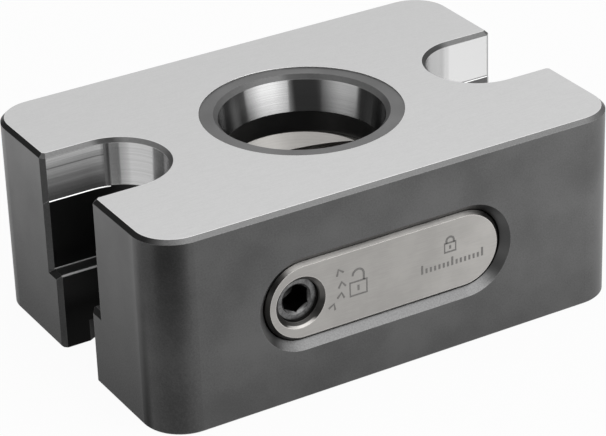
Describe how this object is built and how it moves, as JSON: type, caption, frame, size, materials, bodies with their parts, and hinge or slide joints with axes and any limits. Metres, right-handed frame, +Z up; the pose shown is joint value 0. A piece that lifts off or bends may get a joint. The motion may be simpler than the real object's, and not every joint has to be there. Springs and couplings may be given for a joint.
{
  "type": "manual clamping module",
  "caption": "Flat steel block with a central centring bore, open end slots for hold-down screws and a screw-driven slide in a stadium pocket that clamps a pull stud.",
  "frame": {"origin": "centre of the bottom face, on the axis of the centring bore", "axes": "+X along the block from slot to slot, +Z up out of the centring bore, -Y out of the face that shows the slide and the screw"},
  "size_m": [0.1, 0.068, 0.0395],
  "materials": {
    "black_steel": "black oxide with ground faces",
    "satin_steel": "satin hardened steel",
    "screw_steel": "black screw steel",
    "pin_steel": "ground dowel steel"
  },
  "bodies": {
    "module_body": {"body": "black_steel", "thrust_pad": "pin_steel", "retaining_pin_left": "pin_steel", "retaining_pin_right": "pin_steel", "stop_pin": "pin_steel"},
    "slide": {"clamping_slide": "satin_steel"},
    "screw": {"clamping_screw": "screw_steel"}
  },
  "joints": [
    {"name": "screw_turn", "type": "hinge", "parent": "module_body", "child": "screw", "pos_m": [-0.0206, 0, 0.0195], "axis": [0, 1, 0], "range_deg": [0, 720]},
    {"name": "slide_travel", "type": "slide", "parent": "module_body", "child": "slide", "axis": [0, -1, 0], "range_m": [0, 0.003]}
  ],
  "couplings": [
    {"joint": "screw_turn", "follows": "slide_travel", "rad_per_m": 4188.8}
  ]
}
